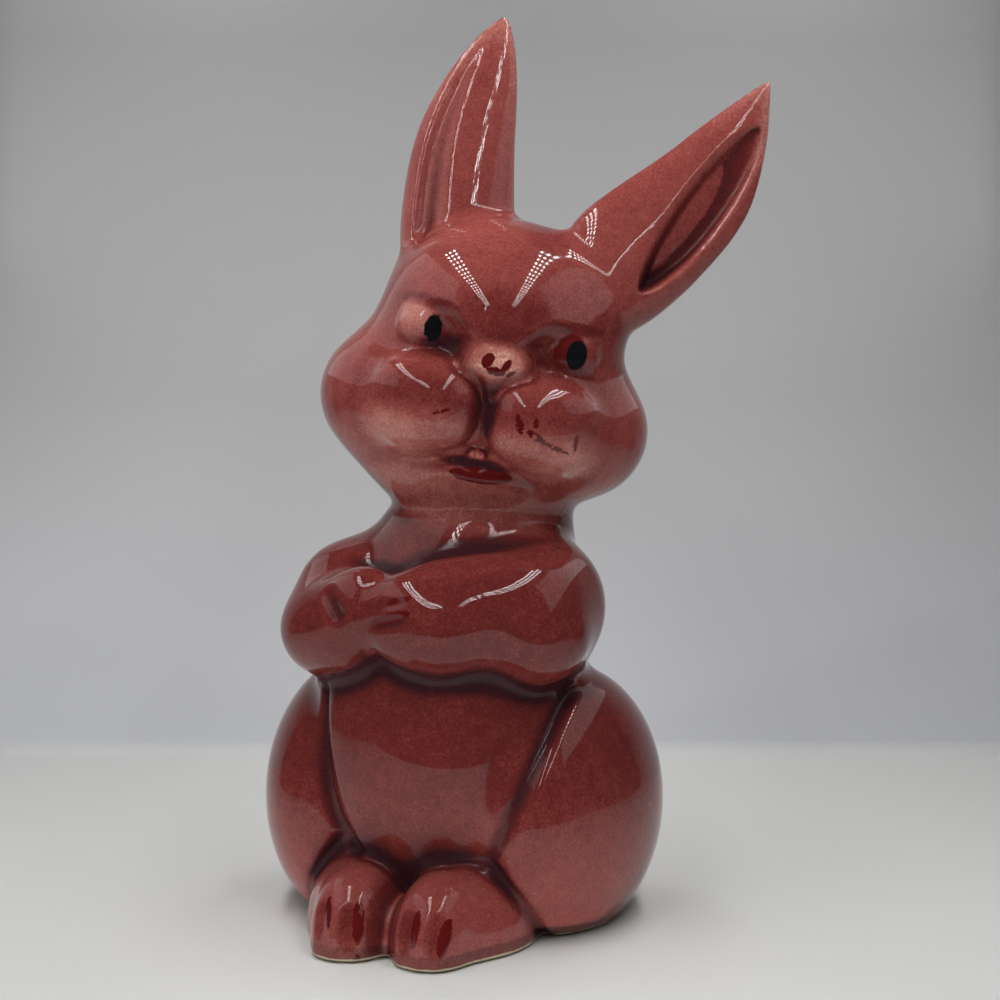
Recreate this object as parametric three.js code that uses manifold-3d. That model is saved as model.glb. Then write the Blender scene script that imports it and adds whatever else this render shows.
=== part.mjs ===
// Ceramic rabbit that holds cotton balls: a hollow slip-cast figure, two ears luted to its head, loose
// cotton balls in its belly, and one more pushed half out of a hole in its back to make the tail.
// Millimetres, +Z up. The rabbit's body looks along -Y, and its own left side is +X. The origin is the
// middle of its base, on the surface that it stands on.

import * as THREE from "three";
import { mergeVertices } from "three/addons/utils/BufferGeometryUtils.js";
import Module from "manifold-3d";

// Casting: wall and floor thickness, the two holes, and the thickness of the slip joint under each ear
const WALL = 4.5;
const FLOOR = 5;
const TAIL_HOLE_DIAMETER = 26;
const TAIL_HOLE_HEIGHT = 40;
const DRAIN_HOLE_DIAMETER = 16;
const DRAIN_HOLE_PLACE = [1, 15];
const SLIP_JOINT = 0.35;

// Cotton balls: the loose ones, the gaps they keep where they lie and to the walls, and the tail's fit
const BALL_DIAMETER = 24;
const BALL_COUNT = 5;
const REST_GAP = 0.35;
const WALL_GAP = 0.9;
const TAIL_CLEARANCE = 0.3;
const TAIL_STANDS_OUT = 3;

// The modelled figure is built of rounded forms. An egg has a centre and half sizes, with a power above 2
// where it is squarer, and a taper is a round bar between two points. turn is yaw, roll and pitch in
// degrees, blend is how softly a form flows into those before it, a paired form is mirrored in X, and a
// carved one is taken away.
const BODY = {
  trunk: { centre: [0, 3, 38], half: [29.5, 31, 44] },
  chest: { centre: [1, 4, 66], half: [25, 21, 22], blend: 8 },
  neck: { from: [3, 7, 70], to: [7, 6, 96], radii: [22, 19.5], blend: 8 },
  rump: { centre: [0, 14, 24], half: [24, 22, 30], blend: 8 },
  haunches: { centre: [22.3, 6, 24], half: [20.6, 29, 29.5], turn: [-8, 0, 0], paired: true, blend: 2.6 },
};
const LIMBS = {
  leftShoulder: { centre: [23, -3, 66.5], half: [11.5, 14, 14], blend: 6 },
  rightShoulder: { centre: [-19.5, -6.5, 65.5], half: [11.5, 15.5, 14], blend: 6 },
  feet: {
    blend: 1.8,
    forms: {
      toes: { centre: [9.2, -22, 1.5], half: [9.1, 17.5, 15], turn: [-3, 0, 0], power: 2.5, paired: true },
      ankle: { centre: [14, -14.5, 2], half: [10.2, 15, 14.5], paired: true, blend: 4 },
    },
  },
  leftArm: {
    blend: 2.4,
    forms: {
      elbow: { centre: [23, -12, 62.5], half: [11.3, 12.3, 10.8], turn: [24, 0, 0] },
      forearm: { centre: [6.5, -22.8, 64.3], half: [11.3, 9.3, 10.2], turn: [-16, 0, 0], blend: 6 },
      sleeve: { centre: [14, -15.5, 70.3], half: [17, 10.6, 7.8], turn: [24, -8, 0], blend: 6 },
      paw: { centre: [-0.2, -27.6, 66.2], half: [7, 5.2, 7], turn: [-10, 0, 0], blend: 4 },
    },
  },
  rightArm: {
    blend: 2.2,
    forms: {
      elbow: { centre: [-20, -15, 62], half: [10.4, 11.8, 10.4] },
      forearm: { centre: [-11.5, -22.3, 64.3], half: [8.8, 8.8, 9.8], turn: [14, 0, 0], blend: 6 },
      paw: { centre: [-7.4, -25, 68.6], half: [5.8, 6, 6.6], blend: 5 },
    },
  },
};

// The head is modelled square to its own face, then set on the neck, turned and tipped to one side.
const HEAD_PLACE = { centre: [8, 5, 115.5], turn: [20, 11, 4] };
const HEAD_BLEND = 3;
const SKULL = {
  cranium: { centre: [0, 4, 6], half: [25.5, 25, 24.5] },
  cheeks: { centre: [18.7, -1, -9.5], half: [16, 19, 15], paired: true, blend: 8 },
  jaw: { centre: [-1, -3.5, -21], half: [22.5, 19.5, 15], blend: 6 },
};
const FACE = {
  forehead: { centre: [0.3, -3, 9.5], half: [23, 19.8, 19.5], blend: 6 },
  brows: { from: [3.4, -18.9, 8], to: [15, -15.6, 11.6], radii: [2.8, 1.2], paired: true, blend: 3.5 },
  sockets: {
    centre: [13.4, -23, 5.4], half: [7.4, 5.4, 5.8], turn: [0, -20, 0],
    paired: true, blend: 3, carved: true,
  },
  lips: { centre: [0.6, -14.6, -18.6], half: [11, 9, 4.8], blend: 4 },
  muzzle: { centre: [12, -16.4, -8.7], half: [11.7, 9.9, 10.6], turn: [10, 0, 0], paired: true, blend: 2.6 },
  eyes: { centre: [15, -14.9, 6.7], half: [5.3, 4.4, 5.3], paired: true, blend: 1.2 },
  nose: {
    blend: 1.6,
    forms: {
      wings: { from: [-3.9, -20.2, 2.2], to: [4.6, -20.2, 2.6], radii: [3.3, 3.3] },
      point: { centre: [0.9, -21, -1.8], half: [3.1, 3.1, 3.6], blend: 5 },
    },
  },
  mouth: { centre: [0.3, -26, -17.4], half: [8.2, 5.4, 1.3], turn: [0, 3, 0], blend: 1.2, carved: true },
};

// Ears: the root lies inside the head, the axis bows by bow at mid length, and the ear sways sideways from
// its low part to its high part. drawnOut is how it narrows to its point, and the front swells towards the
// root. The hollow runs up the front, at a share of the half width, with its own half width as a share and
// its depth.
const EARS = {
  ear_right: {
    root: [-4, 4, 128], tip: [8.4, 12, 189.4], bow: [-2.6, 0, 0], sway: [2.4, 0],
    halfWidth: 12.6, halfThickness: 8.5, drawnOut: [2.8, 0.77],
    hollow: { at: -0.56, spread: 0.2, depth: 3 },
  },
  ear_left: {
    root: [30, 8, 126.5], tip: [63.9, 16, 173.9], bow: [0.9, 0, -0.7], sway: [-2.6, 1.5],
    halfWidth: 14, halfThickness: 8.5, drawnOut: [2.6, 1.02],
    hollow: { at: 0.27, spread: 0.32, depth: 5 },
  },
};
const EAR_SWAYS_BETWEEN = [0.15, 0.65];
const EAR_FACES = [0.342, -0.94, 0];
const EAR_ROOT_DEPTH = 0.16;
const EAR_PINCH = { below: 0.3, amount: 3 };
const EAR_FRONT_SWELL = { even: 0.95, evenPower: 0.9, flare: 0.3, flarePower: 4 };
const EAR_HOLLOW_STARTS = [-0.05, 0.15];
const EAR_HOLLOW_ENDS = [0.75, 0.95];

// Facets: rings and spokes of the casting's skin and of its hollow, whose caps start above the middle of
// the head, then those of an ear and its seat on the head, of a cotton ball, and of the holes
const SKIN_RINGS = 62;
const SKIN_CAP_RINGS = 7;
const SKIN_SPOKES = 72;
const HOLLOW_RINGS = 20;
const HOLLOW_CAP_RINGS = 5;
const HOLLOW_SPOKES = 28;
const FRONT_CROWDING = 0.42;
const CAP_RISE = 13;
const EAR_RINGS = 14;
const EAR_SIDES = 20;
const SEAT_RINGS = 10;
const SEAT_DEPTH = 10;
const BALL_FACETS = 2;
const HOLE_SIDES = 32;

// Casting rays: how finely they find the surface. They start well outside the figure.
const RAY_START = 2 * Math.max(...BODY.trunk.half);
const STEP = 0.8;
const HALVINGS = 14;

// Settling the cotton balls: the loose spiral they start in, and how they sink
const SPIRAL = { turn: 2.4, across: 12, along: 9, from: 1.1, rise: 0.55 };
const SINKING_ROUNDS = 600;
const SETTLING_ROUNDS = 300;
const SINKING_STEP = 0.1;

const wasm = await Module();
wasm.setup();

const glaze = new THREE.MeshStandardMaterial({ color: 0x8e4a48, roughness: 0.15, metalness: 0 });
const cotton = new THREE.MeshStandardMaterial({ color: 0xf2efe9, roughness: 1, metalness: 0 });

// Signed distance of a form, near enough: below zero inside it. Every form is a function of x, y and z.

function axesOf([yaw, roll, pitch] = [0, 0, 0]) {
  const turn = new THREE.Euler(...[pitch, roll, yaw].map(THREE.MathUtils.degToRad), "ZYX");
  return new THREE.Matrix4().makeRotationFromEuler(turn).elements;
}

function egg({ centre: [cx, cy, cz], half: [hx, hy, hz], turn, power = 2 }) {
  const m = axesOf(turn);
  const least = Math.min(hx, hy, hz);
  return (x, y, z) => {
    const dx = x - cx;
    const dy = y - cy;
    const dz = z - cz;
    const a = (m[0] * dx + m[1] * dy + m[2] * dz) / hx;
    const b = (m[4] * dx + m[5] * dy + m[6] * dz) / hy;
    const c = (m[8] * dx + m[9] * dy + m[10] * dz) / hz;
    if (power !== 2) {
      const size = Math.abs(a) ** power + Math.abs(b) ** power + Math.abs(c) ** power;
      return (size ** (1 / power) - 1) * least;
    }
    const size = Math.hypot(a, b, c);
    return (size * (size - 1)) / Math.max(Math.hypot(a / hx, b / hy, c / hz), 1e-6);
  };
}

function taper({ from: [ax, ay, az], to: [bx, by, bz], radii: [ra, rb] }) {
  const [ux, uy, uz] = [bx - ax, by - ay, bz - az];
  const square = ux * ux + uy * uy + uz * uz;
  return (x, y, z) => {
    const along = ((x - ax) * ux + (y - ay) * uy + (z - az) * uz) / square;
    const t = THREE.MathUtils.clamp(along, 0, 1);
    return Math.hypot(x - ax - t * ux, y - ay - t * uy, z - az - t * uz) - (ra + (rb - ra) * t);
  };
}

function softMin(a, b, width) {
  if (!width) return Math.min(a, b);
  const h = THREE.MathUtils.clamp(0.5 + (0.5 * (b - a)) / width, 0, 1);
  return b + (a - b) * h - width * h * (1 - h);
}

function fieldOf(form) {
  if (form.forms) return blended(form.forms);
  const solid = form.from ? taper(form) : egg(form);
  return form.paired ? (x, y, z) => solid(Math.abs(x), y, z) : solid;
}

function blended(forms) {
  const parts = Object.values(forms).map((form) => ({ ...form, field: fieldOf(form) }));
  return (x, y, z) => {
    let d = Infinity;
    for (const { field, blend, carved } of parts) {
      const next = field(x, y, z);
      if (d === Infinity) d = next;
      else d = carved ? -softMin(-d, next, blend) : softMin(d, next, blend);
    }
    return d;
  };
}

function headField(forms) {
  const square = blended(forms);
  const [cx, cy, cz] = HEAD_PLACE.centre;
  const m = axesOf(HEAD_PLACE.turn);
  return (x, y, z) => {
    const dx = x - cx;
    const dy = y - cy;
    const dz = z - cz;
    return square(
      m[0] * dx + m[1] * dy + m[2] * dz,
      m[4] * dx + m[5] * dy + m[6] * dz,
      m[8] * dx + m[9] * dy + m[10] * dz,
    );
  };
}

const body = blended({ ...BODY, ...LIMBS });
const head = headField({ ...SKULL, ...FACE });
const figure = (x, y, z) => softMin(body(x, y, z), head(x, y, z), HEAD_BLEND);
const core = blended(BODY);
const skull = headField(SKULL);
const hollow = (x, y, z) => softMin(core(x, y, z), skull(x, y, z), HEAD_BLEND) + WALL;

// Solids for cutting and joining

function solidOf(geometry) {
  const bare = geometry.clone();
  bare.deleteAttribute("normal");
  bare.deleteAttribute("uv");
  const merged = mergeVertices(bare, 1e-5);
  const vertProperties = new Float32Array(merged.attributes.position.array);
  const triVerts = new Uint32Array(merged.index.array);
  return new wasm.Manifold(new wasm.Mesh({ numProp: 3, vertProperties, triVerts }));
}

function geometryOf(solid) {
  const { vertProperties, triVerts } = solid.getMesh();
  const geometry = new THREE.BufferGeometry();
  geometry.setAttribute("position", new THREE.BufferAttribute(new Float32Array(vertProperties), 3));
  geometry.setIndex(new THREE.BufferAttribute(new Uint32Array(triVerts), 1));
  geometry.computeVertexNormals();
  return geometry;
}

// Closed skin through rings of points, with a single point below the first ring and above the last. Each
// patch is split across its shorter way.
function closedLoft(foot, rings, crown) {
  const spokes = rings[0].length;
  const points = [foot, ...rings.flat(), crown];
  const last = points.length - 1;
  const index = [];
  for (let j = 0; j < spokes; j++) {
    const k = (j + 1) % spokes;
    index.push(0, 1 + k, 1 + j);
    for (let i = 0; i + 1 < rings.length; i++) {
      const low = 1 + i * spokes;
      const high = low + spokes;
      const [a, b, c, d] = [low + j, low + k, high + k, high + j];
      const rising = points[a].distanceTo(points[c]) <= points[b].distanceTo(points[d]);
      index.push(...(rising ? [a, b, c, a, c, d] : [a, b, d, b, c, d]));
    }
    const top = 1 + (rings.length - 1) * spokes;
    index.push(top + j, top + k, last);
  }
  const geometry = new THREE.BufferGeometry().setFromPoints(points);
  geometry.setIndex(index);
  return geometry;
}

// Outermost point of a field on a ray
function cast(field, start, ray) {
  const at = (r) => field(start.x + ray.x * r, start.y + ray.y * r, start.z + ray.z * r);
  let outside = RAY_START;
  while (outside > STEP && at(outside - STEP) > 0) outside -= STEP;
  let inside = Math.max(outside - STEP, 0);
  for (let i = 0; i < HALVINGS; i++) {
    const middle = (inside + outside) / 2;
    if (at(middle) > 0) outside = middle;
    else inside = middle;
  }
  return start.clone().addScaledVector(ray, inside);
}

// Angle of a spoke, counted from the face's side of the front, where spokes crowd together
function spokeAngle(j, spokes) {
  const round = (2 * Math.PI * j) / spokes;
  return round - FRONT_CROWDING * Math.sin(round);
}

// Skin of a field: level rings from the given height up to the brow, then rings of rays that tip up to
// the crown. Rays start on a leaning axis from the trunk to the head.
function skinOf(field, floor, levels, caps, spokes) {
  const low = new THREE.Vector3(...BODY.trunk.centre).setZ(0);
  const [headX, headY, headZ] = HEAD_PLACE.centre;
  const middle = new THREE.Vector3(headX, headY, headZ + CAP_RISE);
  const facing = THREE.MathUtils.degToRad(HEAD_PLACE.turn[0] / 2);
  const rays = Array.from({ length: spokes }, (_, j) => {
    const angle = spokeAngle(j, spokes) + facing;
    return new THREE.Vector3(Math.sin(angle), -Math.cos(angle), 0);
  });
  const axisAt = (z) => low.clone().lerp(middle, z / middle.z);
  const rings = [];
  for (let i = 0; i < levels; i++) {
    const start = axisAt(floor + ((middle.z - floor) * i) / levels);
    rings.push(rays.map((ray) => cast(field, start, ray)));
  }
  for (let i = 0; i < caps; i++) {
    const rise = (Math.PI / 2) * (i / caps);
    const tipped = (ray) => ray.clone().multiplyScalar(Math.cos(rise)).setZ(Math.sin(rise));
    rings.push(rays.map((ray) => cast(field, middle, tipped(ray))));
  }
  return closedLoft(axisAt(floor), rings, cast(field, middle, new THREE.Vector3(0, 0, 1)));
}

// Body casting: the skin less its hollow, the tail's hole in the back and the drain hole in the floor

const backAtHole = cast(figure, new THREE.Vector3(0, 0, TAIL_HOLE_HEIGHT), new THREE.Vector3(0, 1, 0)).y;

function bodyCasting() {
  const skin = solidOf(skinOf(figure, 0, SKIN_RINGS, SKIN_CAP_RINGS, SKIN_SPOKES));
  const inside = solidOf(skinOf(hollow, FLOOR, HOLLOW_RINGS, HOLLOW_CAP_RINGS, HOLLOW_SPOKES));
  const tailHole = new THREE.CylinderGeometry(
    TAIL_HOLE_DIAMETER / 2, TAIL_HOLE_DIAMETER / 2, backAtHole, HOLE_SIDES,
  );
  tailHole.translate(0, backAtHole, 0).translate(0, 0, TAIL_HOLE_HEIGHT);
  const drain = new THREE.CylinderGeometry(
    DRAIN_HOLE_DIAMETER / 2, DRAIN_HOLE_DIAMETER / 2, 4 * FLOOR, HOLE_SIDES,
  );
  drain.rotateX(Math.PI / 2).translate(...DRAIN_HOLE_PLACE, 0);
  return geometryOf(skin.subtract(inside).subtract(solidOf(tailHole)).subtract(solidOf(drain)));
}

// Ears: lofted along a bowed axis to a point, with a hollow pressed up the front, and cut to the head

function earLoft({ root, tip, bow, sway, halfWidth, halfThickness, drawnOut, hollow: dent }) {
  const start = new THREE.Vector3(...root);
  const axis = new THREE.Vector3(...tip).sub(start);
  const along = axis.clone().normalize();
  const front = new THREE.Vector3(...EAR_FACES);
  front.addScaledVector(along, -front.dot(along)).normalize();
  const across = along.clone().cross(front);
  const bowed = new THREE.Vector3(...bow);
  const place = (s) => {
    const straight = start.clone().addScaledVector(axis, s);
    return straight.addScaledVector(bowed, 4 * Math.max(s, 0) * (1 - s));
  };
  const rings = [];
  for (let i = 0; i < EAR_RINGS; i++) {
    const s = -EAR_ROOT_DEPTH + ((1 + EAR_ROOT_DEPTH) * i) / EAR_RINGS;
    const pinch = EAR_PINCH.amount * Math.max(EAR_PINCH.below - s, 0) ** 2;
    const left = 1 - Math.max(s, 0);
    const { even, evenPower, flare, flarePower } = EAR_FRONT_SWELL;
    const swell = even * left ** evenPower + flare * left ** flarePower;
    const width = (1 - Math.max(s, 0) ** drawnOut[0]) ** drawnOut[1] * (1 - pinch);
    const swing = THREE.MathUtils.smoothstep(s, ...EAR_SWAYS_BETWEEN);
    const swayed = THREE.MathUtils.lerp(...sway, swing) * (1 - Math.max(s, 0) ** 6);
    const starts = THREE.MathUtils.smoothstep(s, ...EAR_HOLLOW_STARTS);
    const ends = 1 - THREE.MathUtils.smoothstep(s, ...EAR_HOLLOW_ENDS);
    const ring = Array.from({ length: EAR_SIDES }, (_, j) => {
      const angle = (-2 * Math.PI * j) / EAR_SIDES;
      const wide = Math.cos(angle);
      const deep = Math.sin(angle);
      const dip = Math.exp(-(((wide - dent.at) / dent.spread) ** 2));
      const pressed = deep > 0 ? dent.depth * dip * starts * ends : 0;
      const out = halfThickness * deep * (deep > 0 ? swell : width) - width * pressed;
      const aside = halfWidth * width * wide + swayed;
      return place(s).addScaledVector(across, aside).addScaledVector(front, out);
    });
    rings.push(ring);
  }
  return closedLoft(place(-EAR_ROOT_DEPTH), rings, new THREE.Vector3(...tip));
}

function earCasting(ear) {
  const joint = (x, y, z) => head(x, y, z) - SLIP_JOINT;
  const under = HEAD_PLACE.centre[2] - SEAT_DEPTH;
  const seat = skinOf(joint, under, SEAT_RINGS, SKIN_CAP_RINGS, SKIN_SPOKES);
  return geometryOf(solidOf(earLoft(ear)).subtract(solidOf(seat)));
}

// Cotton balls: each sinks as far as it can inside the hollow, clear of the walls and of the others

const tailRadius = TAIL_HOLE_DIAMETER / 2 - TAIL_CLEARANCE;
const tailCentre = new THREE.Vector3(0, backAtHole - WALL / 2 + TAIL_STANDS_OUT, TAIL_HOLE_HEIGHT);

// Shove that a thing nearer to another than the least distance needs
function shove(thing, other, least) {
  const away = thing.clone().sub(other);
  return away.setLength(Math.max(least - away.length(), 0));
}

function settledBalls() {
  const radius = BALL_DIAMETER / 2;
  const feelers = new THREE.IcosahedronGeometry(1, 1).attributes.position;
  const directions = Array.from({ length: feelers.count }, (_, i) => {
    return new THREE.Vector3().fromBufferAttribute(feelers, i);
  });
  const balls = Array.from({ length: BALL_COUNT }, (_, i) => {
    const angle = SPIRAL.turn * i;
    const height = FLOOR + radius * (SPIRAL.from + SPIRAL.rise * i);
    return new THREE.Vector3(SPIRAL.across * Math.sin(angle), SPIRAL.along * Math.cos(angle), height);
  });
  for (let round = 0; round < SINKING_ROUNDS + SETTLING_ROUNDS; round++) {
    balls.forEach((ball, i) => {
      if (round < SINKING_ROUNDS) ball.z -= SINKING_STEP;
      for (const other of balls.slice(0, i)) {
        const half = shove(ball, other, BALL_DIAMETER + REST_GAP).multiplyScalar(0.5);
        ball.add(half);
        other.sub(half);
      }
      ball.add(shove(ball, tailCentre, radius + tailRadius + REST_GAP));
      for (const way of directions) {
        const touch = ball.clone().addScaledVector(way, radius + WALL_GAP);
        const proud = Math.max(hollow(touch.x, touch.y, touch.z), 0);
        ball.addScaledVector(way, -proud);
      }
      ball.z = Math.max(ball.z, FLOOR + radius + REST_GAP);
    });
  }
  return balls;
}

const group = new THREE.Group();

function addPiece(name, geometry, material) {
  const mesh = new THREE.Mesh(geometry, material);
  mesh.name = name;
  group.add(mesh);
  return mesh;
}

function ballGeometry(radius) {
  const ball = new THREE.IcosahedronGeometry(radius, BALL_FACETS);
  ball.deleteAttribute("normal");
  ball.deleteAttribute("uv");
  return mergeVertices(ball, 1e-4);
}

addPiece("body_casting", bodyCasting(), glaze);
for (const [name, ear] of Object.entries(EARS)) addPiece(name, earCasting(ear), glaze);
addPiece("tail_cotton_ball", ballGeometry(tailRadius), cotton).position.copy(tailCentre);
settledBalls().forEach((place, i) => {
  addPiece(`cotton_ball_${i + 1}`, ballGeometry(BALL_DIAMETER / 2), cotton).position.copy(place);
});

export default group;
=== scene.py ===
import math

import bpy
import numpy as np
import openvdb
from mathutils import Euler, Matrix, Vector, noise


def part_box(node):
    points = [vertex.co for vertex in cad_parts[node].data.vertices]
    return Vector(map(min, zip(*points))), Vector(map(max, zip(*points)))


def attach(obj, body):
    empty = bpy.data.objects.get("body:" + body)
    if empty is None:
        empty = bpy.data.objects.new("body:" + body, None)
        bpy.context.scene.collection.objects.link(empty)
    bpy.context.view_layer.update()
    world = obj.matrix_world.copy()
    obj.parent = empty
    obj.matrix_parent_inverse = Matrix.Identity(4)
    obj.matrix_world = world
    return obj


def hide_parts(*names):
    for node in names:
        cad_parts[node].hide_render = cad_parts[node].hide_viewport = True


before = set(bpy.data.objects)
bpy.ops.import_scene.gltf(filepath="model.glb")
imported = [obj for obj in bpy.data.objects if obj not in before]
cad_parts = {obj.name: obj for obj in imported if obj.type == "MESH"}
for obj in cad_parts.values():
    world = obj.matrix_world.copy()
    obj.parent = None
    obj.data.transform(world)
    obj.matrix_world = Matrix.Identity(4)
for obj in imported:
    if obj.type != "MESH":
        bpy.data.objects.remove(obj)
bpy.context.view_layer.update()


# Trunk and haunches: the seat of a hollow slip-cast earthenware rabbit, modelled in rounded masses that
# flow into each other. A groove, drawn with a round tool, parts each haunch from the belly.
# All forms are in millimetres.
def turned(yaw, roll=0, pitch=0):
    """Axes of a form that is pitched, then rolled, then yawed, in degrees."""
    angles = [math.radians(angle) for angle in (pitch, roll, yaw)]
    return np.array(Euler(angles, "XYZ").to_matrix(), np.float32)


def egg(points, centre, half, axes=None):
    """Distance to a rounded mass, near enough: below zero inside it."""
    local = points - np.array(centre, np.float32)
    if axes is not None:
        local = local @ axes
    half = np.array(half, np.float32)
    share = np.linalg.norm(local / half, axis=-1)
    steepness = np.linalg.norm(local / half**2, axis=-1)
    return share * (share - 1) / np.maximum(steepness, 1e-6)


def taper(points, start, end, start_radius, end_radius):
    """Distance to a round bar that narrows from one point to another."""
    start = np.array(start, np.float32)
    run = np.array(end, np.float32) - start
    along = np.clip((points - start) @ run / (run @ run), 0, 1)
    gap = np.linalg.norm(points - start - along[:, None] * run, axis=-1)
    return gap - start_radius - (end_radius - start_radius) * along


def drawn(points, path, radius):
    """Distance to a round tool drawn along a path."""
    margin = 8
    near = (points > np.min(path, 0) - margin) & (points < np.max(path, 0) + margin)
    near = near.all(-1)
    gap = np.full(len(points), margin, np.float32)
    close = [taper(points[near], *ends, radius, radius) for ends in zip(path, path[1:])]
    gap[near] = np.minimum.reduce(close)
    return gap


def join(one, other, softness):
    """Two forms pressed together, with a fillet of clay where they meet."""
    share = np.clip(0.5 + 0.5 * (other - one) / softness, 0, 1)
    return other + (one - other) * share - softness * share * (1 - share)


def carve(form, tool, softness):
    """A form with a tool's mark taken out of it, the mark's edge rounded over."""
    return -join(-form, tool, softness)


def mirrored(points, side):
    """Points seen in the plane between left and right, for a form of the other side."""
    return points * np.array([side, 1, 1], np.float32)


def trunk(points):
    form = egg(points, (0, 3, 38), (29.5, 31, 44))
    chest = egg(points, (1, 4, 66), (25, 21, 22))
    neck = taper(points, (3, 9, 70), (7, 8, 96), 20, 17.5)
    rump = egg(points, (0, 14, 24), (24, 22, 30))
    for mass in (chest, neck, rump):
        form = join(form, mass, 8)
    for side in (1, -1):
        haunch = egg(mirrored(points, side), (22.3, 6, 24), (20.6, 29, 29.5), turned(-8))
        form = join(form, haunch, 2.6)
    return form


def groove_path(*corners):
    """Points on the trunk's front along a curve from the first corner to the third, bent by the second."""
    depths = np.linspace(-50, 10, 241)
    path = []
    for t in np.linspace(0, 1, 13):
        shares = ((1 - t) ** 2, 2 * t * (1 - t), t**2)
        across = sum(share * corner[0] for share, corner in zip(shares, corners))
        up = sum(share * corner[1] for share, corner in zip(shares, corners))
        line = np.stack(np.broadcast_arrays(across, depths, up), -1).astype(np.float32)
        path.append(line[np.argmax(trunk(line) < 0)])
    return path


GROOVE_RADIUS = 0.6
HAUNCH_GROOVES = (
    groove_path((28.2, 50.5), (25.8, 34), (17, 18)),
    groove_path((17, 18), (20.4, 12.5), (24.5, 0)),
    groove_path((-20.3, 50.5), (-19.5, 24), (-9.7, 16)),
    groove_path((-14.6, 20), (-18, 16), (-21.5, 10.5)),
)


def haunch_tool(points):
    return np.minimum.reduce([drawn(points, path, GROOVE_RADIUS) for path in HAUNCH_GROOVES])


# Arms and feet: rolls of the same clay body. The left forearm lies over the right one, its fingers are
# two tooled lines, and each foot has two tooled toe lines at its front.
def block(points, centre, half, power, axes):
    """Distance to a mass that is squarer than an egg."""
    local = (points - np.array(centre, np.float32)) @ axes
    share = (np.abs(local / np.array(half, np.float32)) ** power).sum(-1) ** (1 / power)
    return (share - 1) * min(half) * 0.85


def feet(points):
    pair = []
    for side in (1, -1):
        own_side = mirrored(points, side)
        toes = block(own_side, (9.2, -22, 1.5), (9.1, 17.5, 15), 2.5, turned(-3))
        heel = egg(own_side, (14, -14.5, 2), (10.2, 15, 14.5))
        foot = join(toes, heel, 4)
        for across in (5.6, 12.4):
            toe_line = taper(own_side, (across, -41.2, 2), (across + 0.3, -37.6, 10), 1.5, 0.7)
            foot = carve(foot, toe_line, 2)
        pair.append(foot)
    return join(*pair, 3.4)


def left_arm(points):
    elbow = egg(points, (23, -12, 62.5), (11.3, 12.3, 10.8), turned(24))
    wrist = egg(points, (6.5, -22.8, 64.3), (11.3, 9.3, 10.2), turned(-16))
    forearm = egg(points, (14, -15.5, 70.3), (17, 10.6, 7.8), turned(24, -8))
    hand = egg(points, (-0.2, -27.6, 66.2), (7, 5.2, 7), turned(-10))
    form = join(join(join(elbow, wrist, 9), forearm, 9), hand, 6)
    for height in (70.6, 66.8):
        finger_line = taper(points, (-5.5, -32.8, height - 2), (4.5, -34.3, height + 0.2), 1.1, 0.6)
        form = carve(form, finger_line, 1.4)
    return form


def right_arm(points):
    elbow = egg(points, (-20, -15, 62), (10.4, 11.8, 10.4))
    wrist = egg(points, (-11.5, -22.3, 64.3), (8.8, 8.8, 9.8), turned(14))
    hand = egg(points, (-7.4, -25, 68.6), (5.8, 6, 6.6))
    form = join(join(elbow, wrist, 8), hand, 6)
    thumb_line = taper(points, (-14.4, -30.3, 71), (-11, -32.2, 67), 0.8, 1)
    return carve(form, thumb_line, 2)


def with_limbs(points, form):
    left_shoulder = egg(points, (23, -3, 66.5), (11.5, 14, 14))
    right_shoulder = egg(points, (-19.5, -6.5, 65.5), (11.5, 15.5, 14))
    for shoulder in (left_shoulder, right_shoulder):
        form = join(form, shoulder, 6)
    for limb, softness in ((feet, 1.8), (left_arm, 3), (right_arm, 2.8)):
        form = join(form, limb(points), softness)
    return form


# Head: full cheeks and muzzle on a round skull, modelled square to its own face and then set on the neck,
# turned to the rabbit's left and tipped to one side.
HEAD_CENTRE = (8, 5, 115.5)
HEAD_AXES = turned(20, 11, 4)


def square_to_face(points):
    return (points - np.array(HEAD_CENTRE, np.float32)) @ HEAD_AXES


def skull(square):
    form = egg(square, (0, 4, 6), (25.5, 25, 24.5))
    for side in (1, -1):
        cheek = egg(mirrored(square, side), (18.7, -1, -9.5), (16, 19, 15))
        form = join(form, cheek, 8)
    jaw = egg(square, (-1, -3.4, -18), (23, 16.6, 16.5))
    return join(form, jaw, 6)


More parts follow.
